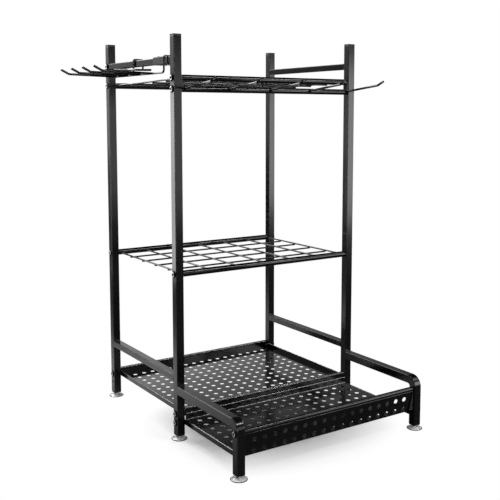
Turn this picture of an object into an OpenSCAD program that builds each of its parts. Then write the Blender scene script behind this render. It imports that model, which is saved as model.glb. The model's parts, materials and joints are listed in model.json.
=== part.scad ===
// Garden tool rack: four square posts with two wire grids that hold long handles upright,
// a perforated tray between the posts, a lower perforated tray ahead of them on bent legs,
// five hooks on the front and a sliding four-prong hook bar on the left crossbar.

/* [Overall size] */
// Width over the outer faces of the posts
rack_w = 586; // [480:1:760]
// Depth over the outer faces of the four posts
rack_d = 419; // [340:1:560]
// Height from the floor to the top of the post caps
rack_h = 1044; // [900:1:1250]
// How far the front legs stand ahead of the front posts, face to face
leg_reach = 288.5; // [220:0.5:380]

/* [Tubes] */
// Side of the square post and leg tubes
tube_w = 22; // [20:0.5:26]
// Wall of the square tubes
tube_wall = 1.2; // [0.8:0.1:1.6]
// Outer corner radius of the square tubes
tube_edge = 1.6; // [1.3:0.1:2.5]
// Height of the seam between the lower and the upper post tubes
seam_z = 498; // [485:1:540]
// Length of the inner spigot above and below the seam
spigot_reach = 42; // [30:1:45]
// Side clearance of the spigot in the post
spigot_clear = 0.15; // [0.1:0.05:0.3]
// Diameter of the spring button that locks the spigot
button_d = 7; // [5:0.5:8]
// Height of the spring button above the seam
button_rise = 15; // [10:0.5:20]
// How far the spring button stands out of the post
button_proud = 1.2; // [0.8:0.1:2]
// Centre line radius of the bend in the front leg tubes
bend_r = 18; // [16:0.5:28]
// Height of the horizontal run of the front leg tubes
leg_run_z = 133.5; // [128:0.5:145]
// Height of the side rails between the posts
side_rail_z = 162.5; // [156:0.5:180]
// Height of the side rail's own section
side_rail_h = 17; // [12:0.5:20]
// How far the top crossbars stand below the top of the caps
crossbar_drop = 63; // [55:0.5:75]
// Height of the crossbar's own section
crossbar_h = 16; // [12:0.5:17]
// Width and height of the tongue that joins a crossbar to its back post
tongue_size = 9; // [7:0.5:11]

/* [Caps and feet] */
// Thickness of the part of a cap that shows above the post
cap_h = 5; // [3:0.5:8]
// Depth of the cap's plug inside the post
cap_plug = 14; // [8:0.5:20]
// Gap between the floor and the plastic plugs at the tube bottoms
foot_lift = 10; // [9.5:0.5:16]
// Thickness of the plug's flange below the tube
plug_flange = 2.5; // [1.5:0.5:4]
// Depth of the plug inside the tube
plug_depth = 16; // [12:0.5:20]
// Diameter of the levelling foot
foot_d = 39; // [30:0.5:46]
// Thickness of the levelling foot's rim
foot_rim = 2.2; // [1.5:0.1:3]
// Height of the foot where its dome meets the stud
foot_dome = 5.6; // [4.5:0.1:6]
// Diameter of the levelling stud
stud_d = 8; // [6:0.5:10]
// Height of the stud's end above the floor
stud_top = 34; // [28:0.5:36]
// Radial clearance of the stud in its plug
stud_clear = 0.06; // [0.04:0.01:0.1]

/* [Fasteners] */
// Diameter of the bolt shanks
bolt_d = 5; // [4:0.5:5.5]
// Clearance of a bolt in its hole, on the diameter
bolt_clear = 0.4; // [0.2:0.1:0.8]
// Diameter of the round bolt heads
bolt_head_d = 16; // [10:0.5:17]
// Height of the bolt heads
bolt_head_h = 3.8; // [3:0.1:5]
// Hexagon socket size, across corners
socket_d = 4.6; // [3:0.1:6]
// Thread length of a bolt inside a shelf tube
bolt_grip = 16; // [10:0.5:18]
// Nut size across its corners
nut_d = 9; // [8:0.1:9.4]
// Nut thickness
nut_h = 4; // [3:0.1:5]

/* [Shelves] */
// Diameter of the round shelf tubes
rail_d = 13; // [10:0.5:16]
// Wall of the round shelf tubes
rail_wall = 1.2; // [0.8:0.1:1.8]
// Length of the threaded plug in each end of a round tube
rail_plug = 20; // [19:0.5:26]
// Diameter of the grid wires
wire_d = 3.6; // [2.5:0.1:4]
// Spacing of the grid wires that run front to back
grid_step_x = 90; // [60:1:120]
// Spacing of the grid wires that run side to side
grid_step_y = 77; // [60:1:110]
// Gap between the outermost grid wire and the end plate of the shelf
grid_side_gap = 0.5; // [0.3:0.1:6]
// Height of the middle shelf tubes
mid_shelf_z = 437; // [420:1:440]
// How far the top shelf's front tube stands below the top of the caps
top_front_drop = 108; // [100:0.5:130]
// How far the top shelf's back tube stands below the top of the caps
top_back_drop = 117; // [105:0.5:130]
// Clearance between a shelf or tray and the posts at each side
side_clear = 0.3; // [0.2:0.1:1]

/* [Hook rail] */
// How far the hook tube stands below the top shelf's front tube
hook_rail_drop = 28; // [24:0.5:40]
// Diameter of the hook tube
hook_rail_d = 12; // [9:0.5:14]
// Thickness of the end plates that join the hook tube and the shelf tube
end_plate = 3; // [2:0.5:5]
// Width of the end plates
end_plate_w = 16; // [15:0.5:19]
// Number of hooks on the hook tube
hook_count = 5; // [3:1:7]
// Gap between the outermost hooks and the end plates
hook_side_gap = 1; // [0.5:0.5:20]
// Diameter of the hook wire
hook_wire = 5; // [3.5:0.1:6]
// Straight length of a front hook
hook_run = 134; // [80:1:160]
// Rise of the straight part of a front hook, in degrees
hook_slope = 6; // [0:0.5:12]
// Length of a front hook's turned-up end
hook_tip = 22; // [12:0.5:40]
// Angle by which a front hook's end turns up
hook_turn = 17; // [10:1:45]
// Bend radius of all hook wires
hook_bend = 14; // [8:0.5:24]

/* [Trays] */
// Thickness of the tray sheets
sheet = 1; // [0.8:0.1:1.5]
// Height of the trays' side lips and side flanges
lip_h = 13; // [11.5:0.5:14]
// Height of the back tray's front and back lips
end_lip_h = 20; // [14:0.5:24]
// Width of the inward fold on top of the front and back lips
lip_fold = 8; // [4:0.5:12]
// Height of the front tray's rear lip
rear_lip_h = 18; // [12:0.5:24]
// Height of the bolts that carry the back tray
back_tray_z = 68.5; // [66:0.5:90]
// Height of the bolts that carry the front tray
front_tray_z = 45; // [43:0.5:46]
// How far the back tray stays inside the posts' front and back faces
tray_inset = 1.5; // [0.5:0.5:3]
// Gap between the front tray's rear lip and the plane of the posts' front faces
tray_gap = 1; // [0.5:0.5:4]
// How far the front tray's side flanges reach back past the front bolts
tray_lap = 8; // [7:0.5:9.5]
// How much shorter than the front tray its rear lip is, at each end
rear_lip_inset = 13; // [1:0.5:30]
// Diameter of the drain holes
hole_d = 12.5; // [8:0.5:15]
// Spacing of the back tray's holes from side to side
back_step_x = 29; // [24:0.5:40]
// Spacing of the back tray's holes from front to back
back_step_y = 31; // [24:0.5:40]
// Spacing of the front tray's holes from side to side
front_step_x = 30; // [24:0.5:40]
// Spacing of the front tray's holes from front to back
front_step_y = 32.5; // [24:0.5:40]
// Least distance from a hole's centre to the side edges
hole_edge_x = 26; // [22:0.5:40]
// Least distance from a hole's centre to the back tray's front and back edges
back_edge_y = 35; // [24:0.5:50]
// Least distance from a hole's centre to the front tray's front and back edges
front_edge_y = 16; // [12:0.5:40]
// Height of the front panel's top tube
front_rail_z = 111.5; // [106:0.5:112]
// How far the panel's foot stands behind the top tube's centre line
panel_foot = 3; // [1:0.5:8]
// Where the leaning panel meets its tube, as a share of the tube's radius ahead of its centre
panel_out = 0.75; // [0:0.05:0.8]
// Distance of the panel's lower row of holes from the tray floor, along the panel
panel_low_row = 9; // [8.5:0.5:14]
// Spacing of the panel's two rows of holes
panel_row_step = 28.5; // [20:0.5:30]
// How much narrower the panel is at its foot, at each end
panel_taper = 6; // [0:0.5:14]

/* [Hook bar] */
// Place of the hook bar's near hanger, measured back from the front post
bar_start = 26.5; // [24:0.5:60]
// Spacing of the hook bar's two hangers
hanger_step = 176.5; // [120:0.5:200]
// Spacing of the prongs
prong_step = 75; // [50:1:75]
// Number of prongs
prong_count = 4; // [2:1:4]
// Distance from the near hanger to the nearest prong
prong_start = 61; // [40:1:67]
// Straight length of a prong
prong_run = 135; // [80:1:160]
// Rise of the straight part of a prong, in degrees
prong_slope = 1.5; // [0:0.5:8]
// Length of a prong's turned-up end
prong_tip = 22; // [12:0.5:40]
// Angle by which a prong's end turns up
prong_turn = 25; // [10:1:45]
// How far the hook bar's lower wire hangs below the crossbar
bar_drop = 23; // [16:0.5:30]
// How far the inner hanger tails reach below the crossbar
tail_drop = 5; // [2:0.5:10]
// How far the brace rises above the lower wire at its near and far end
brace_rise = [9, 20]; // [6.5:0.5:22]
// How far behind the near hanger the brace starts
brace_start = 65; // [10:1:90]
// Length of the brace
brace_len = 225; // [180:1:260]
// Radius of the bend where the near hanger turns into the lower wire
bar_elbow = 9; // [7:0.5:12]
// Outer diameter of the soft sleeves on the prong ends
sleeve_d = 6.4; // [5.5:0.1:8]
// Length of the soft sleeves
sleeve_len = 20; // [10:0.5:22]
// Side clearance of a sleeve on its wire
sleeve_clear = 0.05; // [0.02:0.01:0.1]
// Clearance between the hook bar and the crossbar that it slides on
bar_clear = 0.3; // [0.2:0.05:0.6]
// Wall of the sleeve and of the clip that guide the hook bar on the crossbar
collar_t = 2; // [1.5:0.1:3]
// Length of the sleeve behind the near hanger
collar_len = 58; // [30:1:60]
// Length of the clip ahead of the near hanger
clip_len = 13; // [8:0.5:14]
// Spacing of the two screws below the sleeve
collar_screw_step = 16.5; // [12:0.5:22]
// Diameter of the heads of the sleeve's screws
collar_screw_d = 5; // [4:0.5:7]
// Height of the heads of the sleeve's screws
collar_screw_h = 3; // [2:0.5:5]

/* [Hidden] */
$fn = 48;
edge_fn = 24;
tiny = 0.01;

// Heights that follow the height of the rack
crossbar_z = rack_h - crossbar_drop;
top_front_z = rack_h - top_front_drop;
top_back_z = rack_h - top_back_drop;
hook_rail_z = top_front_z - hook_rail_drop;

black = [0.13, 0.13, 0.13];
satin = [0.2, 0.2, 0.2];
plastic = [0.07, 0.07, 0.07];
chrome = [0.75, 0.75, 0.76];

// Post and leg centre lines, with the origin midway between the posts at the floor
post_x = rack_w / 2 - tube_w / 2;
post_y = rack_d / 2 - tube_w / 2;
front_face = rack_d / 2;
leg_y = -(front_face + leg_reach - tube_w / 2);
clear_x = rack_w - 2 * tube_w;
clear_y = rack_d - 2 * tube_w;
bore_w = tube_w - 2 * tube_wall;
tube_base = foot_lift + plug_flange;
tube_end = rack_h - cap_h;
bolt_hole = bolt_d + bolt_clear;
low_holes = [mid_shelf_z, back_tray_z, front_tray_z];
front_holes = [top_front_z, hook_rail_z];
back_holes = [top_back_z, crossbar_z];
leg_top = leg_run_z - bend_r;
shelf_half = clear_x / 2 - side_clear;

// Hook bar: wire axes round the left crossbar
bar_out_x = -rack_w / 2 - bar_clear - hook_wire / 2;
bar_in_x = -rack_w / 2 + tube_w + bar_clear + hook_wire / 2;
bar_top_z = crossbar_z + crossbar_h / 2 + bar_clear + hook_wire / 2;
bar_low_z = crossbar_z - crossbar_h / 2 - bar_drop;
near_hanger_y = -clear_y / 2 + bar_start;
far_hanger_y = near_hanger_y + hanger_step;
first_prong_y = near_hanger_y + prong_start;
last_prong_y = first_prong_y + (prong_count - 1) * prong_step;
corner_r = hook_wire / 2 + tube_edge + bar_clear;
elbow_top = bar_low_z + bar_elbow + hook_wire / 4;

// Reach of a bent wire: straight run, bend and turned-up end
function wire_reach(run, slope, tip, turn) =
    run * cos(slope) + hook_bend * (sin(slope + turn) - sin(slope))
    + tip * cos(slope + turn) + hook_wire / 2 * sin(slope + turn);

// Outer limits of the whole rack, which set the origin below its middle
limit_left = bar_out_x - wire_reach(hook_wire / 2 + prong_run, prong_slope, prong_tip, prong_turn)
    - (sleeve_d - hook_wire) / 2 * sin(prong_slope + prong_turn);
limit_right = post_x + foot_d / 2;
limit_front = leg_y - foot_d / 2;
limit_back = max(post_y + foot_d / 2, last_prong_y + hook_wire / 2);
shift = [-(limit_left + limit_right) / 2, -(limit_front + limit_back) / 2, 0];

module place() {
    translate(shift) children();
}

// Sections

module round_square(w, h, r) {
    square([w - 2 * r, h], center = true);
    square([w, h - 2 * r], center = true);
    for (x = [-1, 1], y = [-1, 1])
        translate([x * (w / 2 - r), y * (h / 2 - r)]) circle(r = r, $fn = edge_fn);
}

module tube_section(w, h) {
    difference() {
        round_square(w, h, tube_edge);
        round_square(w - 2 * tube_wall, h - 2 * tube_wall, max(tube_edge - tube_wall, 0.3));
    }
}

// Straight tube that runs along Y, centred
module tube_along_y(w, h, len) {
    rotate([90, 0, 0]) linear_extrude(len, center = true) tube_section(w, h);
}

// Round wire: each step is [straight length, turn angle, bend radius, roll before the turn]
module wire_path(steps, d, i = 0) {
    if (i < len(steps)) {
        run = steps[i][0];
        turn = steps[i][1];
        r = steps[i][2];
        roll = steps[i][3];
        cylinder(h = run, d = d);
        translate([0, 0, run]) rotate([0, 0, roll]) {
            if (turn > 0)
                translate([r, 0, 0]) rotate([90, 0, 0]) mirror([1, 0, 0])
                    rotate_extrude(angle = turn) translate([r, 0]) circle(d = d);
            translate([r * (1 - cos(turn)), 0, r * sin(turn)]) rotate([0, turn, 0])
                wire_path(steps, d, i + 1);
        }
    }
}

// Posts

module post_tube(from_z, to_z, holes, side) {
    difference() {
        translate([0, 0, from_z]) linear_extrude(to_z - from_z) tube_section(tube_w, tube_w);
        for (z = holes)
            translate([0, 0, z]) rotate([0, 90, 0])
                cylinder(h = tube_w + 2, d = bolt_hole, center = true);
        if (to_z > seam_z + button_rise)
            translate([-side * tube_w / 2, 0, seam_z + button_rise]) rotate([0, 90, 0])
                cylinder(h = 3 * tube_wall, d = button_d + bolt_clear, center = true);
        if (from_z >= seam_z && holes == back_holes)
            translate([0, -tube_w / 2, crossbar_z])
                cube([tongue_size + bolt_clear, 3 * tube_wall, tongue_size + bolt_clear],
                    center = true);
    }
}

module lower_post(sx, sy) {
    color(black) place() translate([sx * post_x, sy * post_y, 0])
        post_tube(tube_base, seam_z, low_holes, sx);
}

module upper_post(sx, sy) {
    color(black) place() translate([sx * post_x, sy * post_y, 0])
        post_tube(seam_z, tube_end, sy > 0 ? back_holes : front_holes, sx);
}

module post_lower_front_left() {
    lower_post(-1, -1);
}

module post_lower_front_right() {
    lower_post(1, -1);
}

module post_lower_back_left() {
    lower_post(-1, 1);
}

module post_lower_back_right() {
    lower_post(1, 1);
}

module post_upper_front_left() {
    upper_post(-1, -1);
}

module post_upper_front_right() {
    upper_post(1, -1);
}

module post_upper_back_left() {
    upper_post(-1, 1);
}

module post_upper_back_right() {
    upper_post(1, 1);
}

module at_posts() {
    for (x = [-1, 1], y = [-1, 1]) translate([x * post_x, y * post_y, 0])
        rotate([0, 0, x > 0 ? 180 : 0]) children();
}

// Inner spigots with their spring buttons, one at each post seam
module post_spigots() {
    spigot_w = bore_w - 2 * spigot_clear;
    spigot_r = max(tube_edge - tube_wall, 0.3) + 0.2;
    color(satin) place() at_posts() translate([0, 0, seam_z]) {
        translate([0, 0, -spigot_reach]) linear_extrude(2 * spigot_reach) difference() {
            round_square(spigot_w, spigot_w, spigot_r);
            square(spigot_w - 2 * tube_wall, center = true);
        }
        translate([spigot_w / 2 - tiny, 0, button_rise]) rotate([0, 90, 0])
            cylinder(h = (tube_w - spigot_w) / 2 + button_proud, d = button_d);
    }
}

// Plastic caps pushed into the tops of the posts
module post_caps() {
    plug_w = bore_w - 2 * spigot_clear;
    color(plastic) place() at_posts() {
        translate([0, 0, tube_end]) linear_extrude(cap_h) round_square(tube_w, tube_w, tube_edge);
        translate([-plug_w / 2, -plug_w / 2, tube_end - cap_plug]) cube([plug_w, plug_w, cap_plug]);
    }
}

// Crossbars and side rails

module crossbar(side) {
    color(black) place() translate([side * post_x, 0, crossbar_z]) {
        tube_along_y(tube_w, crossbar_h, clear_y);
        difference() {
            translate([-tongue_size / 2, clear_y / 2 - tube_w, -tongue_size / 2])
                cube([tongue_size, 2 * tube_w - tube_wall - bolt_clear, tongue_size]);
            translate([0, post_y, 0]) rotate([0, 90, 0])
                cylinder(h = tube_w, d = bolt_hole, center = true);
        }
        translate([0, clear_y / 2 - tube_w / 2, 0])
            cube([tube_w - tube_wall, tube_wall, crossbar_h - tube_wall], center = true);
    }
}

module crossbar_left() {
    crossbar(-1);
}

module crossbar_right() {
    crossbar(1);
}

module side_rail(side) {
    color(black) place() translate([side * post_x, 0, side_rail_z])
        tube_along_y(tube_w, side_rail_h, clear_y);
}

module side_rail_left() {
    side_rail(-1);
}

module side_rail_right() {
    side_rail(1);
}

// Front legs: one bent tube each, from the front post forward and down

module leg_tube(side) {
    run = leg_reach - tube_w / 2 - bend_r;
    color(black) place() translate([side * post_x, 0, 0]) {
        translate([0, -front_face - run / 2, leg_run_z]) tube_along_y(tube_w, tube_w, run);
        translate([0, leg_y + bend_r, leg_top]) rotate([90, 0, -90])
            rotate_extrude(angle = 90) translate([bend_r, 0]) tube_section(tube_w, tube_w);
        difference() {
            translate([0, leg_y, tube_base]) linear_extrude(leg_top - tube_base)
                tube_section(tube_w, tube_w);
            translate([0, leg_y, front_rail_z]) rotate([0, 90, 0])
                cylinder(h = tube_w + 2, d = bolt_hole, center = true);
        }
    }
}

module leg_tube_left() {
    leg_tube(-1);
}

module leg_tube_right() {
    leg_tube(1);
}

// Plugs and levelling feet

module at_tube_bottoms() {
    for (x = [-1, 1], y = [post_y, -post_y, leg_y]) translate([x * post_x, y, 0]) children();
}

module tube_plugs() {
    plug_w = bore_w - 2 * spigot_clear;
    bevel = plug_flange * 0.8;
    color(plastic) place() at_tube_bottoms() difference() {
        union() {
            translate([-plug_w / 2, -plug_w / 2, foot_lift])
                cube([plug_w, plug_w, plug_flange + plug_depth]);
            translate([0, 0, foot_lift + plug_flange / 2])
                linear_extrude(plug_flange / 2) square(tube_w - tube_edge, center = true);
            translate([0, 0, foot_lift])
                linear_extrude(plug_flange / 2) square(tube_w - 2 * bevel, center = true);
        }
        translate([0, 0, foot_lift - 1])
            cylinder(h = plug_flange + plug_depth + 2, d = stud_d + 2 * stud_clear);
    }
}

module foot(sx, y) {
    color(chrome) place() translate([sx * post_x, y, 0]) rotate_extrude() {
        difference() {
            translate([0, 0]) square([foot_d / 2 - foot_rim / 2, foot_dome]);
            translate([stud_d / 2 + 3, foot_rim]) square([foot_d, foot_dome]);
        }
        translate([foot_d / 2 - foot_rim / 2, foot_rim / 2]) circle(d = foot_rim, $fn = edge_fn);
        polygon([[0, foot_rim], [foot_d / 2 - foot_rim, foot_rim],
            [stud_d / 2 + 3, foot_dome], [0, foot_dome]]);
        translate([0, foot_dome - tiny]) square([stud_d / 2, stud_top - foot_dome]);
    }
}

module foot_front_left() {
    foot(-1, -post_y);
}

module foot_front_right() {
    foot(1, -post_y);
}

module foot_back_left() {
    foot(-1, post_y);
}

module foot_back_right() {
    foot(1, post_y);
}

module foot_leg_left() {
    foot(-1, leg_y);
}

module foot_leg_right() {
    foot(1, leg_y);
}

// Round tube along X with a threaded plug in each end
module round_rail(len, d) {
    rotate([0, 90, 0]) difference() {
        cylinder(h = len, d = d, center = true);
        cylinder(h = len - 2 * rail_plug, d = d - 2 * rail_wall, center = true);
        cylinder(h = len + 2, d = bolt_hole, center = true);
    }
}

// Places of a row of holes about the middle, as many as fit inside a half width
function spread(half, step) =
    let (n = floor(2 * half / step)) [for (i = [0 : n]) (i - n / 2) * step];

// Places of the wires between two edges, at equal steps from the middle
function between(half, step) =
    let (cells = max(2, round(2 * half / step))) [for (i = [1 : cells - 1]) (i - cells / 2) * step];

grid_side = shelf_half - end_plate - grid_side_gap - wire_d / 2;
cross_x = concat([-grid_side], between(grid_side, grid_step_x), [grid_side]);
long_y = between(post_y - rail_d / 2, grid_step_y);

// Wires from the front tube to the back tube, which may stand at different heights;
// their ends are cut to the round of the tubes
module cross_wires(front_z, back_z) {
    rise = atan2(back_z - front_z, 2 * post_y);
    span = sqrt(pow(2 * post_y, 2) + pow(back_z - front_z, 2));
    color(satin) place() translate([0, 0, (front_z + back_z) / 2]) rotate([rise, 0, 0])
        difference() {
            for (x = cross_x) translate([x, 0, 0]) rotate([90, 0, 0])
                cylinder(h = span - rail_d + wire_d, d = wire_d, center = true);
            for (y = [-1, 1]) translate([0, y * span / 2, 0]) rotate([0, 90, 0])
                cylinder(h = rack_w, d = rail_d, center = true);
        }
}

// Wires from side to side, laid under the others
module long_wires(front_z, back_z) {
    rise = atan2(back_z - front_z, 2 * post_y);
    color(satin) place() translate([0, 0, (front_z + back_z) / 2]) rotate([rise, 0, 0])
        for (y = long_y) translate([0, y, -wire_d]) rotate([0, 90, 0])
            cylinder(h = 2 * grid_side + wire_d, d = wire_d, center = true);
}

module mid_shelf_rails() {
    color(black) place() for (y = [-post_y, post_y])
        translate([0, y, mid_shelf_z]) round_rail(2 * shelf_half, rail_d);
}

module mid_shelf_cross_wires() {
    cross_wires(mid_shelf_z, mid_shelf_z);
}

module mid_shelf_long_wires() {
    long_wires(mid_shelf_z, mid_shelf_z);
}

module top_shelf_rails() {
    color(black) place() {
        translate([0, -post_y, top_front_z]) round_rail(2 * (shelf_half - end_plate), rail_d);
        translate([0, post_y, top_back_z]) round_rail(2 * shelf_half, rail_d);
    }
}

module top_shelf_cross_wires() {
    cross_wires(top_front_z, top_back_z);
}

module top_shelf_long_wires() {
    long_wires(top_front_z, top_back_z);
}

// Hook tube, its end plates and the five front hooks

module hook_rail() {
    color(black) place() translate([0, -post_y, hook_rail_z])
        round_rail(2 * (shelf_half - end_plate), hook_rail_d);
}

module shelf_end_plate(side) {
    color(black) place() translate([side * (shelf_half - end_plate / 2), -post_y, 0])
        rotate([90, 0, 90]) linear_extrude(end_plate, center = true) difference() {
            union() {
                for (z = [hook_rail_z, top_front_z]) translate([0, z]) circle(d = end_plate_w);
                translate([-end_plate_w / 2, hook_rail_z])
                    square([end_plate_w, top_front_z - hook_rail_z]);
            }
            for (z = [hook_rail_z, top_front_z]) translate([0, z]) circle(d = bolt_hole);
        }
}

module end_plate_left() {
    shelf_end_plate(-1);
}

module end_plate_right() {
    shelf_end_plate(1);
}

hook_span = 2 * (shelf_half - end_plate - hook_side_gap - hook_wire / 2);
hook_step = hook_span / (hook_count - 1);

// Hook wire with its root cut to the round of the hook tube
module front_hook(i) {
    root = hook_rail_d / 4;
    if (i < hook_count)
        color(black) place() translate([-hook_span / 2 + i * hook_step, -post_y, hook_rail_z])
            difference() {
                rotate([90 - hook_slope, 0, 0]) rotate([0, 0, 90]) translate([0, 0, root])
                    wire_path([[hook_rail_d / 2 - root + hook_run, hook_turn, hook_bend, 0],
                        [hook_tip, 0, 1, 0]], hook_wire);
                rotate([0, 90, 0]) cylinder(h = 2 * hook_wire, d = hook_rail_d, center = true);
            }
}

module front_hook_1() {
    front_hook(0);
}

module front_hook_2() {
    front_hook(1);
}

module front_hook_3() {
    front_hook(2);
}

module front_hook_4() {
    front_hook(3);
}

module front_hook_5() {
    front_hook(4);
}

// Trays

tray_half = shelf_half;
back_floor_z = back_tray_z - lip_h / 2;
front_floor_z = front_tray_z + lip_h / 2 - sheet;
back_half_y = front_face - tray_inset;
front_y0 = leg_y + panel_foot;
front_y1 = -front_face - tray_gap;
flange_y1 = -post_y + tray_lap;

// Flat sheet with a square pattern of drain holes
module drained_sheet(half_x, half_y, step_x, step_y, edge_y) {
    difference() {
        square([2 * half_x, 2 * half_y], center = true);
        for (x = spread(half_x - hole_edge_x, step_x), y = spread(half_y - edge_y, step_y))
            translate([x, y]) circle(d = hole_d, $fn = edge_fn);
    }
}

module back_tray_floor() {
    color(satin) place() translate([0, 0, back_floor_z]) linear_extrude(sheet)
        drained_sheet(tray_half, back_half_y, back_step_x, back_step_y, back_edge_y);
}

module back_tray_side_lips() {
    color(satin) place() for (s = [0, 1]) mirror([s, 0, 0]) difference() {
        translate([-tray_half, -back_half_y, back_floor_z + sheet])
            cube([sheet, 2 * back_half_y, lip_h - sheet]);
        for (y = [-post_y, post_y])
            translate([-tray_half, y, back_tray_z]) rotate([0, 90, 0])
                cylinder(h = 4 * sheet, d = bolt_hole, center = true);
    }
}

// Front and back lips of the back tray, folded inward on top, between the side lips
module back_tray_end_lips() {
    half = tray_half - sheet;
    color(satin) place() for (s = [0, 1]) mirror([0, s, 0])
        translate([-half, -back_half_y, back_floor_z]) {
            translate([0, 0, sheet]) cube([2 * half, sheet, end_lip_h - sheet]);
            translate([0, 0, end_lip_h - sheet]) cube([2 * half, sheet + lip_fold, sheet]);
        }
}

module front_tray_floor() {
    mid_y = (front_y0 + front_y1) / 2;
    color(satin) place() translate([0, mid_y, front_floor_z]) linear_extrude(sheet)
        drained_sheet(tray_half, (front_y1 - front_y0) / 2, front_step_x, front_step_y,
            front_edge_y);
}

// Side flanges of the front tray, turned down from its floor and run back to the front posts
module front_tray_side_flanges() {
    color(satin) place() for (s = [0, 1]) mirror([s, 0, 0]) difference() {
        union() {
            translate([-tray_half, front_y0, front_tray_z - lip_h / 2])
                cube([sheet, flange_y1 - front_y0, lip_h - sheet]);
            translate([-tray_half, front_y1, front_tray_z - lip_h / 2])
                cube([sheet, flange_y1 - front_y1, lip_h]);
        }
        translate([-tray_half, -post_y, front_tray_z]) rotate([0, 90, 0])
            cylinder(h = 4 * sheet, d = bolt_hole, center = true);
    }
}

// Upstanding rear lip of the front tray, just ahead of the back tray
module front_tray_rear_lip() {
    half = tray_half - rear_lip_inset;
    color(satin) place() translate([-half, front_y1 - sheet, front_floor_z + sheet])
        cube([2 * half, sheet, rear_lip_h - sheet]);
}

// Tall perforated front of the lower tray: it leans forward from the floor's edge,
// and its top edge is cut to the round of the top tube
module front_panel() {
    foot = [front_y0, front_floor_z + sheet];
    head = [leg_y - panel_out * rail_d / 2, front_rail_z];
    lean = atan2(foot[0] - head[0], head[1] - foot[1]);
    back = sheet / cos(lean);
    color(satin) place() difference() {
        rotate([90, 0, 90]) linear_extrude(2 * tray_half, center = true)
            polygon([foot, [foot[0] + back, foot[1]], [head[0] + back, head[1]], head]);
        translate([0, foot[0], foot[1]]) rotate([90 + lean, 0, 0]) {
            for (x = spread(tray_half - hole_edge_x, front_step_x), row = [0, 1])
                translate([x, panel_low_row + row * panel_row_step, 0])
                    cylinder(h = 4 * sheet, d = hole_d, center = true, $fn = edge_fn);
            for (s = [0, 1]) mirror([s, 0, 0]) linear_extrude(4 * sheet, center = true)
                polygon([[tray_half - panel_taper, -sheet], [tray_half + sheet, -sheet],
                    [tray_half + sheet, front_rail_z - foot[1]], [tray_half, front_rail_z - foot[1]]]);
        }
        translate([0, leg_y, front_rail_z]) rotate([0, 90, 0])
            cylinder(h = rack_w, d = rail_d, center = true);
    }
}

module front_panel_rail() {
    color(black) place() translate([0, leg_y, front_rail_z]) round_rail(2 * shelf_half, rail_d);
}

// Bolts and nuts

// Round-headed bolt along +X with a hexagon socket; its seat is at the origin
module bolt(len) {
    rim = bolt_head_h / 4;
    dome = bolt_head_h - rim;
    dome_r = (pow(bolt_head_d / 2, 2) + pow(dome, 2)) / (2 * dome);
    rotate([0, 90, 0]) {
        cylinder(h = len, d = bolt_d);
        difference() {
            translate([0, 0, -bolt_head_h]) rotate_extrude() intersection() {
                translate([0, dome_r]) circle(r = dome_r);
                square([bolt_head_d / 2, bolt_head_h]);
            }
            translate([0, 0, -bolt_head_h - 1])
                cylinder(h = bolt_head_h / 2 + 1, d = socket_d, $fn = 6);
        }
    }
}

// Seats of bolts on the outer faces of both sides, at a depth and a height
module bolt_pair(y, z, len) {
    for (s = [0, 1]) mirror([s, 0, 0]) translate([-rack_w / 2, y, z]) bolt(len);
}

module shelf_bolts() {
    shelf_len = tube_w + bolt_grip;
    color(plastic) place() {
        for (y = [-post_y, post_y]) bolt_pair(y, mid_shelf_z, shelf_len);
        bolt_pair(-post_y, top_front_z, shelf_len);
        bolt_pair(-post_y, hook_rail_z, shelf_len);
        bolt_pair(post_y, top_back_z, shelf_len);
        bolt_pair(post_y, crossbar_z, tube_w - tube_wall);
        bolt_pair(leg_y, front_rail_z, shelf_len);
    }
}

tray_bolt_seats = [[-post_y, back_tray_z], [post_y, back_tray_z], [-post_y, front_tray_z]];

module tray_bolts() {
    color(plastic) place() for (p = tray_bolt_seats)
        bolt_pair(p[0], p[1], tube_w + side_clear + sheet + nut_h + 1);
}

module tray_nuts() {
    color(chrome) place() for (p = tray_bolt_seats, s = [0, 1]) mirror([s, 0, 0])
        translate([-tray_half + sheet, p[0], p[1]]) rotate([0, 90, 0]) difference() {
            rotate([0, 0, 90]) cylinder(h = nut_h, d = nut_d, $fn = 6);
            translate([0, 0, -1]) cylinder(h = nut_h + 2, d = bolt_hole);
        }
}

// Hook bar on the left crossbar

// A hanger goes from its outer foot up, over the crossbar and down to its inner tail
module hanger(y, foot_z) {
    rise = bar_top_z - corner_r - foot_z;
    across = bar_in_x - bar_out_x - 2 * corner_r;
    fall = crossbar_h / 2 + crossbar_z - (crossbar_z - crossbar_h / 2) + tail_drop;
    translate([bar_out_x, y, foot_z])
        wire_path([[rise, 90, corner_r, 0], [across, 90, corner_r, 0],
            [fall - corner_r + bar_clear + hook_wire / 2, 0, 1, 0]], hook_wire);
}

module hook_bar_hanger_near() {
    color(black) place() hanger(near_hanger_y, elbow_top);
}

module hook_bar_hanger_far() {
    color(black) place() hanger(far_hanger_y, bar_low_z + hook_wire / 2);
}

// Lower wire that carries the prongs, bent up at its near end to meet the near hanger
module hook_bar_wire() {
    reach = last_prong_y + hook_wire / 2 - near_hanger_y - bar_elbow;
    color(black) place() translate([bar_out_x, near_hanger_y, elbow_top]) rotate([180, 0, 0])
        wire_path([[elbow_top - bar_low_z - bar_elbow, 90, bar_elbow, -90], [reach, 0, 1, 0]],
            hook_wire);
}

// Brace on the outer side of the far hanger
module hook_bar_brace() {
    climb = atan2(brace_rise[1] - brace_rise[0], brace_len);
    color(black) place()
        translate([bar_out_x - hook_wire, near_hanger_y + brace_start, bar_low_z + brace_rise[0]])
            rotate([-90 + climb, 0, 0]) cylinder(h = brace_len, d = hook_wire);
}

module at_prongs() {
    for (i = [0 : prong_count - 1])
        translate([bar_out_x, first_prong_y + i * prong_step, bar_low_z])
            rotate([0, -90 + prong_slope, 0]) children();
}

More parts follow.
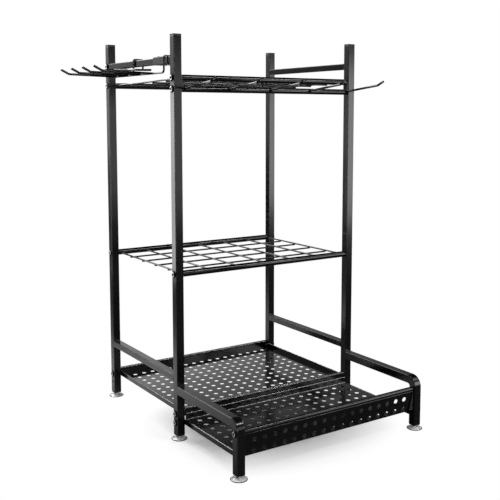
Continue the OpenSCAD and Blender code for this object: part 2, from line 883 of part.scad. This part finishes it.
// Prongs with their roots cut to the round of the lower wire
module hook_bar_prongs() {
    root = hook_wire / 4;
    color(black) place() difference() {
        at_prongs() translate([0, 0, root])
            wire_path([[hook_wire / 2 - root + prong_run, prong_turn, hook_bend, 0],
                [prong_tip, 0, 1, 0]], hook_wire);
        translate([bar_out_x, 0, bar_low_z]) rotate([90, 0, 0])
            cylinder(h = rack_d, d = hook_wire, center = true);
    }
}

// Soft sleeves on the turned-up ends
module hook_bar_sleeves() {
    color(plastic) place() at_prongs()
        translate([hook_bend * (1 - cos(prong_turn)), 0,
            hook_wire / 2 + prong_run + hook_bend * sin(prong_turn)])
            rotate([0, prong_turn, 0]) translate([0, 0, prong_tip - sleeve_len]) difference() {
                cylinder(h = sleeve_len, d = sleeve_d);
                translate([0, 0, -1]) cylinder(h = sleeve_len + 2, d = hook_wire + 2 * sleeve_clear);
            }
}

// Sleeve and clip that guide the hook bar on the crossbar, behind and ahead of the near
// hanger, joined below the crossbar by a strip for two screws
collar_y = near_hanger_y + hook_wire / 2;
clip_y = near_hanger_y - hook_wire / 2 - clip_len;
collar_in = [tube_w + 2 * bar_clear, crossbar_h + 2 * bar_clear];
collar_foot = crossbar_z - collar_in[1] / 2 - collar_t;
collar_head = crossbar_z + collar_in[1] / 2 + collar_t;

// Ring round the crossbar, from a place along it
module guide(y, len) {
    translate([-post_x, y + len / 2, crossbar_z]) rotate([90, 0, 0])
        linear_extrude(len, center = true) difference() {
            round_square(collar_in[0] + 2 * collar_t, collar_in[1] + 2 * collar_t, tube_edge);
            square(collar_in, center = true);
        }
}

module hook_bar_collar() {
    color(plastic) place() {
        guide(collar_y, collar_len);
        guide(clip_y, clip_len);
        translate([-post_x - collar_in[0] / 4, clip_y, collar_foot])
            cube([collar_in[0] / 2, collar_y + collar_len - clip_y, collar_t]);
    }
}

// Two screws below the sleeve and one on top near its far end
module hook_bar_screws() {
    color(chrome) place() {
        for (k = [0, 1])
            translate([-post_x, near_hanger_y - hook_wire / 2 + k * collar_screw_step,
                collar_foot - collar_screw_h])
                cylinder(h = collar_screw_h, d = collar_screw_d);
        translate([-post_x, collar_y + collar_len - collar_screw_d, collar_head])
            cylinder(h = collar_screw_h, d = collar_screw_d);
    }
}

post_lower_front_left();
post_lower_front_right();
post_lower_back_left();
post_lower_back_right();
post_upper_front_left();
post_upper_front_right();
post_upper_back_left();
post_upper_back_right();
post_spigots();
post_caps();
crossbar_left();
crossbar_right();
side_rail_left();
side_rail_right();
leg_tube_left();
leg_tube_right();
tube_plugs();
mid_shelf_rails();
mid_shelf_cross_wires();
mid_shelf_long_wires();
top_shelf_rails();
top_shelf_cross_wires();
top_shelf_long_wires();
hook_rail();
end_plate_left();
end_plate_right();
front_hook_1();
front_hook_2();
front_hook_3();
front_hook_4();
front_hook_5();
back_tray_floor();
back_tray_side_lips();
back_tray_end_lips();
front_tray_floor();
front_tray_side_flanges();
front_tray_rear_lip();
front_panel();
front_panel_rail();
shelf_bolts();
tray_bolts();
tray_nuts();
hook_bar_hanger_near();
hook_bar_hanger_far();
hook_bar_wire();
hook_bar_brace();
hook_bar_prongs();
hook_bar_sleeves();
hook_bar_collar();
hook_bar_screws();
foot_front_left();
foot_front_right();
foot_back_left();
foot_back_right();
foot_leg_left();
foot_leg_right();
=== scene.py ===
import json
import math
import random
import bmesh
import bpy
from mathutils import Matrix, Vector


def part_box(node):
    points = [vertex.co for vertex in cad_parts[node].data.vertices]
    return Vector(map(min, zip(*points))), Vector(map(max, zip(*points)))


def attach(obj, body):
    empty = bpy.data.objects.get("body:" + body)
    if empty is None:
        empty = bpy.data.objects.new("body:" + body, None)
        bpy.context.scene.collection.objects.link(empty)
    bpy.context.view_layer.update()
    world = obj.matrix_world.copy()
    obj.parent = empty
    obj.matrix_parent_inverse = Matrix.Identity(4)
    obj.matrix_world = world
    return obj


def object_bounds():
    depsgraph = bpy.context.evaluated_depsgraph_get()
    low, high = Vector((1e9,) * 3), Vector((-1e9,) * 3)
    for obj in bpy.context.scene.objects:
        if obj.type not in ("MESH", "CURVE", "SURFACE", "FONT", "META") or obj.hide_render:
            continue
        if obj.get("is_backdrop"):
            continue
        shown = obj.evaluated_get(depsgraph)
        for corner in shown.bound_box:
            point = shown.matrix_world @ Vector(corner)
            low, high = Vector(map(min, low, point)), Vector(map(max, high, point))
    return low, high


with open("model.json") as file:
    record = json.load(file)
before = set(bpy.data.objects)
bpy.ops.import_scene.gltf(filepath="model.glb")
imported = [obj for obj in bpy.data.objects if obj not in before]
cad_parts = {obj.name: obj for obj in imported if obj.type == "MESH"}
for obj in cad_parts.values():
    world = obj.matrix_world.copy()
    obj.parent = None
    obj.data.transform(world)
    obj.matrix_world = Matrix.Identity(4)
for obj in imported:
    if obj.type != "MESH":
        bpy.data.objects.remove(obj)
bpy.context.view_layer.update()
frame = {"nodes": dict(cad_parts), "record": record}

nodes = frame["nodes"]
random.seed(7)


# Shader nodes


def new_material(name):
    """A material with an empty node tree, and that tree."""
    material = bpy.data.materials.new(name)
    material.use_nodes = True
    material.node_tree.nodes.clear()
    return material, material.node_tree


def put(tree, kind, inputs=None, **settings):
    """Adds a node and returns its outputs. Each input is a value or another node's output."""
    made = tree.nodes.new("ShaderNode" + kind)
    for key, value in settings.items():
        setattr(made, key, value)
    for key, value in (inputs or {}).items():
        if isinstance(value, bpy.types.NodeSocket):
            tree.links.new(value, made.inputs[key])
        else:
            made.inputs[key].default_value = value
    return made.outputs


def grey(value):
    return (value, value, value, 1.0)


def ramp(tree, source, stops):
    """Greys along a source: the stops hold (position, grey)."""
    made = tree.nodes.new("ShaderNodeValToRGB")
    elements = made.color_ramp.elements
    while len(elements) > 1:
        elements.remove(elements[-1])
    elements[0].position, elements[0].color = stops[0][0], grey(stops[0][1])
    for position, value in stops[1:]:
        elements.new(position).color = grey(value)
    tree.links.new(source, made.inputs[0])
    return made.outputs[0]


def noise(tree, place, scale, detail=3.0, rough=0.55):
    values = {"Vector": place, "Scale": scale, "Detail": detail, "Roughness": rough}
    return put(tree, "TexNoise", values)[0]


def remap(tree, source, lo, hi, to_lo=0.0, to_hi=1.0):
    return put(tree, "MapRange", {0: source, 1: lo, 2: hi, 3: to_lo, 4: to_hi})[0]


def calc(tree, operation, a, b, clamp=False):
    return put(tree, "Math", {0: a, 1: b}, operation=operation, use_clamp=clamp)[0]


def bump(tree, height, strength, distance, normal=None):
    inputs = {"Strength": strength, "Distance": distance, "Height": height}
    if normal is not None:
        inputs["Normal"] = normal
    return put(tree, "Bump", inputs)[0]


def rounded(tree, radius):
    """Normal of edges that look rounded."""
    return put(tree, "Bevel", {"Radius": radius}, samples=4)[0]


def own_place(tree):
    return put(tree, "TexCoord")["Object"]


def drifting(tree, source, values):
    """A value that drifts between two with a noise."""
    return remap(tree, source, 0.3, 0.7, *values)


def surface(material, tree, **sockets):
    """Ends the material in one shader, whose sockets are named with _ for a space."""
    shader = put(tree, "BsdfPrincipled", {k.replace("_", " "): v for k, v in sockets.items()})
    put(tree, "OutputMaterial", {0: shader[0]})
    return material


# Finishes


def coated(name, dark, light, rough, peel, edge=0.0006, specular=0.5):
    """Powder coat: orange peel, slow drift of gloss, faint dust and softly rounded edges."""
    material, tree = new_material(name)
    place = own_place(tree)
    drift = noise(tree, place, scale=9.0, detail=4.0)
    dust = noise(tree, place, scale=260.0, detail=2.0)
    shade = calc(tree, "ADD", drifting(tree, drift, (0.0, 0.7)),
                 drifting(tree, dust, (0.0, 0.3)), clamp=True)
    peel_height = noise(tree, place, scale=700.0, detail=1.5, rough=0.4)
    return surface(material, tree,
                   Base_Color=ramp(tree, shade, [(0.0, dark), (1.0, light)]),
                   Roughness=remap(tree, drift, 0.25, 0.75, *rough),
                   Specular_IOR_Level=specular,
                   Normal=bump(tree, peel_height, peel, 0.0003, rounded(tree, edge)))


def moulded(name, dark, light, rough, specular=0.5):
    """Moulded plastic or rubber: fine matt grain."""
    material, tree = new_material(name)
    place = own_place(tree)
    drift = noise(tree, place, scale=40.0)
    grain = noise(tree, place, scale=1800.0, detail=2.0)
    return surface(material, tree,
                   Base_Color=ramp(tree, drift, [(0.3, dark), (0.7, light)]),
                   Roughness=drifting(tree, drift, rough),
                   Specular_IOR_Level=specular,
                   Normal=bump(tree, grain, 0.15, 0.0002, rounded(tree, 0.0007)))


def stud_thread(tree, place, normal):
    """Thread on a foot's stud, which starts above its disc."""
    disc_top, stud_start = 0.0056, 0.0062
    wave = put(tree, "TexWave", {"Vector": place, "Scale": 125.0, "Distortion": 0.0},
               bands_direction="Z")[0]
    height = put(tree, "SeparateXYZ", {0: place})[2]
    on_stud = remap(tree, height, disc_top, stud_start)
    return bump(tree, calc(tree, "MULTIPLY", wave, on_stud), 0.8, 0.0006, normal)


def bright_metal(name, dark, light, rough, threaded=False, metal=1.0, grain=0.08, soften=True):
    """Plated metal: slight haze, and fine grain or the thread of the feet."""
    material, tree = new_material(name)
    place = own_place(tree)
    haze = noise(tree, place, scale=60.0, detail=4.0)
    normal = rounded(tree, 0.0005) if soften else None
    if threaded:
        normal = stud_thread(tree, place, normal)
    else:
        normal = bump(tree, noise(tree, place, scale=500.0), grain, 0.0002, normal)
    return surface(material, tree,
                   Base_Color=ramp(tree, haze, [(0.3, dark), (0.7, light)]),
                   Roughness=drifting(tree, haze, rough),
                   Metallic=metal,
                   Normal=normal)


BROAD_EDGE = 0.0016
frame_coat = coated("frame_coat", 0.0012, 0.0026, (0.16, 0.22), peel=0.05, edge=BROAD_EDGE)
wire_coat = coated("wire_coat", 0.0008, 0.0016, (0.12, 0.18), peel=0.04)
tray_coat = coated("tray_coat", 0.0008, 0.0018, (0.10, 0.17), peel=0.04, edge=0.0004)
tube_coat = coated("tube_coat", 0.0008, 0.0016, (0.07, 0.11), peel=0.02)
bar_coat = coated("bar_coat", 0.0012, 0.0026, (0.12, 0.16), peel=0.04, edge=BROAD_EDGE,
                  specular=0.24)
bolt_coat = coated("bolt_coat", 0.002, 0.003, (0.10, 0.16), peel=0.03)
cap_plastic = moulded("cap_plastic", 0.003, 0.006, (0.4, 0.55))
# Matt black for the bolts' washer caps; the same black is painted shade in the rings under the
# feet
washer_and_shade_black = moulded("washer_and_shade_black", 0.002, 0.004, (0.5, 0.65), specular=0.05)
sleeve_vinyl = moulded("sleeve_vinyl", 0.003, 0.005, (0.2, 0.3))
zinc = bright_metal("zinc", 0.42, 0.58, (0.25, 0.4))
chrome = bright_metal("chrome", 0.82, 0.94, (0.16, 0.26), threaded=True, metal=0.35)
edge_gleam = bright_metal("edge_gleam", 0.2, 0.28, (0.2, 0.26), grain=0.006, soften=False)
black_nickel = bright_metal("black_nickel", 0.52, 0.68, (0.2, 0.3))

by_slot = {
    "black_frame_coat": frame_coat,
    "black_wire_coat": wire_coat,
    "black_tray_coat": tray_coat,
    "black_plastic": cap_plastic,
    "gloss_black_bolts": bolt_coat,
    "zinc_plate": zinc,
    "chrome_feet": chrome,
    "soft_sleeve": sleeve_vinyl,
}
for part in frame["record"]["subparts"]:
    ob = nodes[part["node"]]
    ob.data.materials.clear()
    finish = bar_coat if "crossbar" in part["node"] else by_slot[part["material_slot"]]
    ob.data.materials.append(finish)


# Meshes


def mesh_object(name, bm, material, body="frame", smooth=True):
    """A piece of the scene that rides on a body, from a mesh under construction."""
    me = bpy.data.meshes.new(name)
    bm.to_mesh(me)
    bm.free()
    for f in me.polygons:
        f.use_smooth = smooth
    ob = bpy.data.objects.new(name, me)
    bpy.context.scene.collection.objects.link(ob)
    me.materials.append(material)
    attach(ob, body)


def circle(sides):
    """Cosine and sine of each corner of a round."""
    angles = [k * 2 * math.pi / sides for k in range(sides)]
    return [(math.cos(a), math.sin(a)) for a in angles]


def skin_rings(bm, rings):
    """Quads between each ring of corners and the next."""
    count = len(rings[0])
    for a, b in zip(rings, rings[1:]):
        for k in range(count):
            bm.faces.new((a[k], a[(k + 1) % count], b[(k + 1) % count], b[k]))


def turned(bm, profile, sides, place):
    """Surface of revolution: the profile holds (radius, height), and place puts a corner."""
    skin_rings(bm, [[bm.verts.new(place(radius * c, radius * s, height))
                     for c, s in circle(sides)] for radius, height in profile])


def rod(bm, a, b, radius, sides=16, parts=6):
    """Straight round rod with softly closed ends and a slight waver."""
    t = (b - a).normalized()
    u = t.orthogonal().normalized()
    v = t.cross(u)
    length = (b - a).length
    closing = [(0.0, 0.5), (0.0004, 0.9), (0.0010, 1.0)]
    start = closing[-1][0]
    stations = closing + [(start + (length - 2 * start) * i / parts,
                           1.0 + 0.006 * math.sin(i * 2.3)) for i in range(1, parts)]
    stations += [(length - d, k) for d, k in reversed(closing)]
    rings = [[bm.verts.new(a + t * d + (u * c + v * s) * radius * k) for c, s in circle(sides)]
             for d, k in stations]
    skin_rings(bm, rings)
    bm.faces.new(list(reversed(rings[0])))
    bm.faces.new(rings[-1])


def cross_rod(bm, x0, x1, y, z, radius):
    """Rod from side to side."""
    rod(bm, Vector((x0, y, z)), Vector((x1, y, z)), radius)


def nugget(bm, centre, size, squash):
    """Small flattened ball of weld metal."""
    m = Matrix.Translation(centre) @ Matrix.Diagonal((*squash, 1.0))
    bmesh.ops.create_icosphere(bm, subdivisions=2, radius=size, matrix=m)


def middle(values):
    values = list(values)
    return (min(values) + max(values)) / 2


# Weld beads at the ends of the side rails, crossbars and leg tubes
WELD_RADIUS = 0.0011
WELD_STEP = 0.0012
WELD_INSET = 0.0012
WELD_SINK = 0.0002


def weld_bead(bm, points, sides=8):
    """Rippled closed bead along points in a plane across Y."""
    u = Vector((0, 1, 0))
    rings = []
    for i, p in enumerate(points):
        t = (points[(i + 1) % len(points)] - points[i - 1]).normalized()
        v = t.cross(u)
        ripple = 0.9 + 0.18 * math.sin(i * 2.1) + random.uniform(-0.05, 0.05)
        r = WELD_RADIUS * ripple
        rings.append([bm.verts.new(p + (u * c + v * s) * r) for c, s in circle(sides)])
    skin_rings(bm, rings + rings[:1])


def weld_round(bm, y, x0, x1, z0, z1):
    """Weld round a square tube that ends in the plane y."""
    x0, x1, z0, z1 = x0 + WELD_INSET, x1 - WELD_INSET, z0 + WELD_SINK, z1 - WELD_SINK
    corners = [(x0, z0), (x1, z0), (x1, z1), (x0, z1)]
    points = []
    for a, b in zip(corners, corners[1:] + corners[:1]):
        n = max(2, int(math.dist(a, b) / WELD_STEP))
        points += [Vector((a[0] + (b[0] - a[0]) * (k / n), y, a[1] + (b[1] - a[1]) * (k / n)))
                   for k in range(n)]
    weld_bead(bm, points)


bm = bmesh.new()
for name in ("side_rail_left", "side_rail_right"):
    lo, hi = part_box(name)
    for y in (lo.y + WELD_SINK, hi.y - WELD_SINK):
        weld_round(bm, y, lo.x, hi.x, lo.z, hi.z)
for name in ("crossbar_left", "crossbar_right"):
    lo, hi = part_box(name)
    weld_round(bm, lo.y + WELD_SINK, lo.x, hi.x, lo.z, hi.z)
for name in ("leg_tube_left", "leg_tube_right"):
    lo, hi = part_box(name)
    weld_round(bm, hi.y - WELD_SINK, lo.x, hi.x, hi.z - (hi.x - lo.x), hi.z)
mesh_object("weld_beads", bm, frame_coat)


# Thick coating on the shelf tubes, with its rounded ends at the posts
TUBE_COATING = 0.0018


def tube_axes(node, apart=0.03):
    """Axes of a node's tubes along X: (y, z, radius, x0, x1), from its mesh."""
    groups = []
    for v in nodes[node].data.vertices:
        for g in groups:
            if abs(g[0].y - v.co.y) < apart:
                g.append(v.co)
                break
        else:
            groups.append([v.co])
    out = []
    for g in groups:
        xs, ys, zs = ([q[i] for q in g] for i in range(3))
        out.append((middle(ys), middle(zs), (max(ys) - min(ys)) / 2, min(xs), max(xs)))
    return out


def coating_profile(r, x0, x1, parts=24):
    """Radius and place along X of a tube's coating, a little uneven as dipped plastic is."""
    outer = r + TUBE_COATING
    shoulder = [(r + 0.0001, 0.0002), (outer - 0.0004, 0.0004), (outer - 0.0001, 0.0010),
                (outer, 0.0020)]
    run = shoulder[-1][1]
    profile = [(q, x0 + d) for q, d in shoulder]
    profile += [(outer + 0.00005 * math.sin(i * 1.7), x0 + run + (x1 - x0 - 2 * run) * i / parts)
                for i in range(1, parts)]
    return profile + [(q, x1 - d) for q, d in reversed(shoulder)]


bm = bmesh.new()
for name in ("mid_shelf_rails", "top_shelf_rails", "hook_rail"):
    for y, z, r, x0, x1 in tube_axes(name):
        turned(bm, coating_profile(r, x0, x1), 40, lambda a, b, x: (x, y + a, z + b))
bmesh.ops.recalc_face_normals(bm, faces=bm.faces)
mesh_object("shelf_tube_coating", bm, tube_coat)


# Coating of the wire grids, with nuggets where wires cross and where they meet the tubes
WIRE_COATING = 0.0006


def wire_places(node, axis, apart=0.006):
    """Centres of the parallel wires in a node, from its mesh."""
    values = sorted(v.co[axis] for v in nodes[node].data.vertices)
    out, start, last = [], values[0], values[0]
    for value in values[1:]:
        if value - last > apart:
            out.append((start + last) / 2)
            start = value
        last = value
    return out + [(start + last) / 2]


wires_lo, wires_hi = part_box("mid_shelf_long_wires")
wire_r = (wires_hi.z - wires_lo.z) / 2
coated_r = wire_r + WIRE_COATING
for shelf in ("mid_shelf", "top_shelf"):
    nuggets, skin = bmesh.new(), bmesh.new()
    llo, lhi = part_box(shelf + "_long_wires")
    clo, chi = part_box(shelf + "_cross_wires")
    xs = wire_places(shelf + "_cross_wires", 0)
    ys = wire_places(shelf + "_long_wires", 1)
    if shelf == "top_shelf":
        z_front, z_back = chi.z - wire_r, clo.z + wire_r
    else:
        z_front = z_back = (clo.z + chi.z) / 2
    for y in ys:
        z = z_front + (z_back - z_front) * ((y - clo.y) / (chi.y - clo.y))
        cross_rod(skin, llo.x, lhi.x, y, z - 2 * wire_r, coated_r)
        for x in xs:
            nugget(nuggets, Vector((x, y, z - wire_r)), 1.07 * coated_r, (1.15, 1.15, 0.6))
    for x in xs:
        ends = Vector((x, clo.y, z_front)), Vector((x, chi.y, z_back))
        rod(skin, *ends, coated_r)
        for end, way in zip(ends, (1, -1)):
            at_tube = end + Vector((0, way * TUBE_COATING, 0))
            nugget(nuggets, at_tube, 1.4 * wire_r, (1.1, 0.7, 1.0))
    mesh_object(shelf + "_weld_nuggets", nuggets, wire_coat)
    mesh_object(shelf + "_wire_coating", skin, wire_coat)


# Coating of the front hooks and of the hook bar's prongs and brace
BAR_COATING = 0.0005


def coated_copy(name, node, thickness, body="frame"):
    """Even coating over a wire form: its mesh, welded and pushed out along its normals."""
    bm = bmesh.new()
    bm.from_mesh(nodes[node].data)
    bmesh.ops.remove_doubles(bm, verts=bm.verts, dist=0.00001)
    bmesh.ops.recalc_face_normals(bm, faces=bm.faces)
    bm.normal_update()
    moves = [(v, v.normal.copy()) for v in bm.verts]
    for v, normal in moves:
        v.co += normal * thickness
    mesh_object(name, bm, wire_coat, body=body)


HOOKS = range(1, 6)
for i in HOOKS:
    coated_copy("front_hook_coating_%d" % i, "front_hook_%d" % i, WIRE_COATING)
coated_copy("prong_coating", "hook_bar_prongs", BAR_COATING, body="hook_bar")
coated_copy("brace_coating", "hook_bar_brace", BAR_COATING, body="hook_bar")

# Weld nuggets at the roots of the front hooks
bm = bmesh.new()
for i in HOOKS:
    lo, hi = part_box("front_hook_%d" % i)
    r = (hi.x - lo.x) / 2
    root = Vector(((lo.x + hi.x) / 2, hi.y - 0.0006, lo.z + r + 0.0003))
    nugget(bm, root, 1.3 * r, (1.15, 0.6, 1.15))
mesh_object("hook_weld_nuggets", bm, wire_coat)


# Bolt heads: matt black washer cap, bright face round the socket


def head_places(node, depth=0.0008, reach=0.009):
    """Side, face and centre of each bolt head, from the outermost corners of the mesh."""
    lo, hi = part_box(node)
    heads = []
    for v in nodes[node].data.vertices:
        here = (v.co.y, v.co.z)
        for side, x in ((-1, lo.x), (1, hi.x)):
            if abs(v.co.x - x) < depth:
                for head in heads:
                    if head[0] == side and math.dist(head[2][0], here) < reach:
                        head[2].append(here)
                        break
                else:
                    heads.append((side, x, [here]))
    return [(side, x, middle(p[0] for p in points), middle(p[1] for p in points))
            for side, x, points in heads]


# Profiles as (radius, height below the head's face)
HEAD = 0.0038
cap = [(0.0093, HEAD - 0.0001), (0.0094, HEAD - 0.0006), (0.0091, HEAD - 0.0010),
       (0.0083, HEAD - 0.0012), (0.0081, 0.0030), (0.0075, 0.0022), (0.0068, 0.0015),
       (0.0064, 0.0008), (0.0063, 0.0000)]
socket_rim = [(0.0033, -0.0003), (0.0031, 0.0000), (0.0026, 0.0001), (0.0023, 0.0001)]
bright_face = [(0.0064, 0.0009), (0.0062, 0.0002), (0.0058, -0.0002), (0.0046, -0.0004),
               (0.0036, -0.0003), (0.0033, 0.0001), (0.0031, 0.0008)]
heads = head_places("shelf_bolts") + head_places("tray_bolts")
for name, profiles, material, slot in (
        ("bolt_washers", (cap, socket_rim), washer_and_shade_black, "black_plastic"),
        ("bolt_faces", (bright_face,), black_nickel, "gloss_black_bolts")):
    bm = bmesh.new()
    for side, x, y, z in heads:
        for profile in profiles:
            turned(bm, profile, 40, lambda a, b, h: (x - side * h, y + a, z + b))
    bmesh.ops.recalc_face_normals(bm, faces=bm.faces)
    mesh_object(name, bm, material)


# Folded ends of the front tray's rear lip, which close the corners behind the front posts
END_GAP = 0.0012
LIP_PARTS = 6
lip_lo, lip_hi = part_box("front_tray_rear_lip")
tray_lo, tray_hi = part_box("front_tray_floor")
ends_x0, ends_x1 = tray_lo.x + END_GAP, tray_hi.x - END_GAP
bm = bmesh.new()
for x0, x1 in ((ends_x0, lip_lo.x), (lip_hi.x, ends_x1)):
    rows = []
    for i in range(LIP_PARTS + 1):
        x = x0 + (x1 - x0) * i / LIP_PARTS
        top = lip_hi.z - 0.0004 * math.cos(i * math.pi / LIP_PARTS)
        rows.append([bm.verts.new((x, y, z)) for y, z in (
            (lip_lo.y, lip_lo.z), (lip_lo.y, top), (lip_hi.y, top), (lip_hi.y, lip_lo.z))])
    skin_rings(bm, rows)
    bm.faces.new(rows[0])
    bm.faces.new(list(reversed(rows[-1])))
bmesh.ops.recalc_face_normals(bm, faces=bm.faces)
mesh_object("rear_lip_ends", bm, tray_coat, smooth=False)

# Rolled edges of the trays' lips: both sides of the end lips' folds, top and foot of the rear
# lip, and tops of the side lips and flanges
HEM = 0.0014
SIDE_HEM = 0.0012
HEM_SINK = 0.0006
OUTER_FOLD, INNER_FOLD = 0.0008, 0.0086
bm = bmesh.new()
lo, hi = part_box("back_tray_end_lips")
for y in (lo.y + OUTER_FOLD, lo.y + INNER_FOLD, hi.y - OUTER_FOLD, hi.y - INNER_FOLD):
    cross_rod(bm, lo.x, hi.x, y, hi.z - HEM_SINK, HEM)
cross_rod(bm, ends_x0, ends_x1, (lip_lo.y + lip_hi.y) / 2, lip_hi.z - HEM_SINK, HEM)
cross_rod(bm, ends_x0, ends_x1, lip_lo.y - 0.0002, lip_lo.z + HEM_SINK, HEM)
for name in ("back_tray_side_lips", "front_tray_side_flanges"):
    lo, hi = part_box(name)
    z = hi.z - 0.0004
    for x in (lo.x + 0.0007, hi.x - 0.0007):
        rod(bm, Vector((x, lo.y + 0.001, z)), Vector((x, hi.y - 0.001, z)), SIDE_HEM)
mesh_object("rolled_edges", bm, edge_gleam)

# Bead between the front panel and its top tube
BEAD_END = 0.004
bm = bmesh.new()
lo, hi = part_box("front_panel_rail")
mid, r = (lo + hi) / 2, (hi.z - lo.z) / 2
cross_rod(bm, lo.x + BEAD_END, hi.x - BEAD_END, mid.y - 0.84 * r, mid.z - 0.72 * r, HEM)
mesh_object("panel_bead", bm, tray_coat)

# Dark rings under the levelling feet, painted shade that stands for the contact shadow at their
# base: (distance past the disc's edge, height)
SHADE_RING = [(-0.004, 0.0001), (0.0008, 0.0001), (0.0012, 0.0005), (0.0012, 0.0014),
        (0.0009, 0.0018), (-0.0006, 0.0018)]
for name in [n for n in nodes if n.startswith("foot_")]:
    lo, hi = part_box(name)
    centre = (lo + hi) / 2
    outer = (hi.x - lo.x) / 2
    bm = bmesh.new()
    turned(bm, [(outer + d, h) for d, h in SHADE_RING], 64,
           lambda a, b, h: (centre.x + a, centre.y + b, lo.z + h))
    bmesh.ops.recalc_face_normals(bm, faces=bm.faces)
    mesh_object(name + "_ring", bm, washer_and_shade_black, body=name)


# Floor: white to the camera but for the contact shadow, graded where gloss mirrors it
FLOOR_HALF = 12.0
bm = bmesh.new()
bmesh.ops.create_grid(bm, x_segments=1, y_segments=1, size=FLOOR_HALF)
me = bpy.data.meshes.new("floor")
bm.to_mesh(me)
bm.free()
floor = bpy.data.objects.new("floor", me)
bpy.context.scene.collection.objects.link(floor)
floor.location.z = -0.0002
floor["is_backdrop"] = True

material, tree = new_material("floor_white")
me.materials.append(material)
place = own_place(tree)
path = put(tree, "LightPath")
matt = put(tree, "BsdfDiffuse", {
    "Color": ramp(tree, noise(tree, place, scale=1.5, detail=2.0), [(0.3, 0.95), (0.7, 0.97)])})[0]
white = put(tree, "Emission", {"Color": grey(1.0)})[0]

# Beyond an oval round the rack, the camera sees plain white
oval = put(tree, "VectorMath", {0: place, 1: (2.6, 3.1, 0.0), 2: (-0.13, 0.3, 0.0)},
           operation="MULTIPLY_ADD")[0]
away = put(tree, "VectorMath", {0: oval}, operation="LENGTH")["Value"]
lift = calc(tree, "MULTIPLY", path["Is Camera Ray"], remap(tree, away, 0.35, 1.0))

# Greys that glossy rays see, from the front right to the back left
spot = put(tree, "SeparateXYZ", {0: place})
across = calc(tree, "SUBTRACT", spot[1], spot[0])
graded = put(tree, "BsdfDiffuse", {
    "Color": ramp(tree, remap(tree, across, -2.4, 2.4), [
        (0.0, 0.05), (0.21, 0.07), (0.33, 0.08), (0.46, 0.1), (0.55, 0.36),
        (0.64, 0.78), (0.73, 0.7), (0.81, 0.35), (0.94, 0.15)])})[0]
shown = put(tree, "MixShader", {0: path["Is Glossy Ray"], 1: matt, 2: graded})[0]
mix = put(tree, "MixShader", {0: lift, 1: shown, 2: white})[0]
put(tree, "OutputMaterial", {0: mix})


# World: white to the camera; a dim room with bright bands behind for the object
world = bpy.data.worlds.new("studio")
bpy.context.scene.world = world
world.use_nodes = True
tree = world.node_tree
tree.nodes.clear()
way = put(tree, "SeparateXYZ", {0: put(tree, "TexCoord")["Generated"]})
to_back = ramp(tree, remap(tree, way[1], -1.0, 1.0), [
    (0.0, 0.04), (0.5, 0.03), (0.8, 0.05), (0.9, 0.55), (0.93, 1.1)])
upward = ramp(tree, remap(tree, way[2], -0.1, 1.0), [
    (0.0, 0.6), (0.08, 0.9), (0.11, 1.0), (0.135, 0.6), (0.17, 1.2), (0.25, 0.9),
    (0.33, 1.6), (0.395, 0.85), (0.425, 0.06), (1.0, 0.06)])
bands = put(tree, "Mix", {0: 1.0, 6: to_back, 7: upward},
            data_type="RGBA", blend_type="MULTIPLY")[2]
shaded = calc(tree, "MULTIPLY", remap(tree, way[0], 0.05, 0.2),
              remap(tree, way[2], 0.2, 0.28, 0.94, 0.0))
room = put(tree, "Background", {0: bands, 1: calc(tree, "SUBTRACT", 1.0, shaded)})[0]
backdrop = put(tree, "Background", {0: grey(1.0)})[0]
seen = put(tree, "LightPath")["Is Camera Ray"]
mix = put(tree, "MixShader", {0: seen, 1: room, 2: backdrop})[0]
put(tree, "OutputWorld", {0: mix})


def area(name, place, target, width, height, power):
    """Area light that the camera doesn't see."""
    la = bpy.data.lights.new(name, "AREA")
    la.energy = power
    la.shape = "RECTANGLE"
    la.size = width
    la.size_y = height
    ob = bpy.data.objects.new(name, la)
    ob.location = place
    ob.rotation_mode = "QUATERNION"
    ob.rotation_quaternion = (Vector(target) - Vector(place)).to_track_quat("-Z", "Y")
    bpy.context.scene.collection.objects.link(ob)
    ob.visible_camera = False


for name, place, target, size, power in (
        ("key_top", (-0.3, 0.0, 3.0), (0.05, 0.0, 0.3), (2.0, 2.0), 46.0),
        ("left_panel", (-0.68, 0.76, 0.60), (-0.21, -0.05, 0.60), (0.36, 0.70), 2.9),
        ("right_front", (1.85, -1.75, 0.68), (0.3, -0.1, 0.66), (1.3, 0.9), 15.5),
        ("front_middle", (0.65, -2.3, 0.72), (0.0, 0.0, 0.65), (1.0, 0.9), 3.6),
        ("back_rim", (-0.5, 1.84, 1.95), (0.0, 0.0, 0.5), (1.6, 1.1), 38.0),
        ("bolt_rim", (-0.52, -2.3, 0.75), (-0.2, 0.0, 0.6), (0.35, 1.3), 22.0),
        ("high_right", (1.7, -0.9, 1.7), (0.2, -0.1, 0.3), (0.8, 0.8), 3.8),
        ("tube_lines", (1.4, -1.7, 2.4), (1.4, -0.2, 0.5), (1.2, 0.22), 20.0)):
    area(name, place, target, *size, power)

# Camera at the photograph's place, turned by its fitted angles in degrees
CAMERA_PLACE = (-1.18035, -1.8696, 0.84521)
AZIMUTH, DOWNWARD, ROLL = 33.4593, 6.0297, -0.0324
cam_data = bpy.data.cameras.new("camera")
cam = bpy.data.objects.new("camera", cam_data)
bpy.context.scene.collection.objects.link(cam)
az, el, roll = (math.radians(v) for v in (AZIMUTH, DOWNWARD, ROLL))
fwd = Vector((math.sin(az) * math.cos(el), math.cos(az) * math.cos(el), -math.sin(el)))
flat_right = fwd.cross(Vector((0, 0, 1))).normalized()
plain_up = flat_right.cross(fwd)
right = flat_right * math.cos(roll) + plain_up * math.sin(roll)
up = plain_up * math.cos(roll) - flat_right * math.sin(roll)
turn = Matrix((right, up, -fwd)).transposed().to_4x4()
cam.matrix_world = Matrix.Translation(CAMERA_PLACE) @ turn
cam_data.sensor_width = 36.0
cam_data.lens = 58.527
cam_data.shift_y = -0.1
cam_data.clip_end = 60.0
bpy.context.scene.camera = cam
bpy.context.scene.view_settings.view_transform = "Standard"

lo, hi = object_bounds()
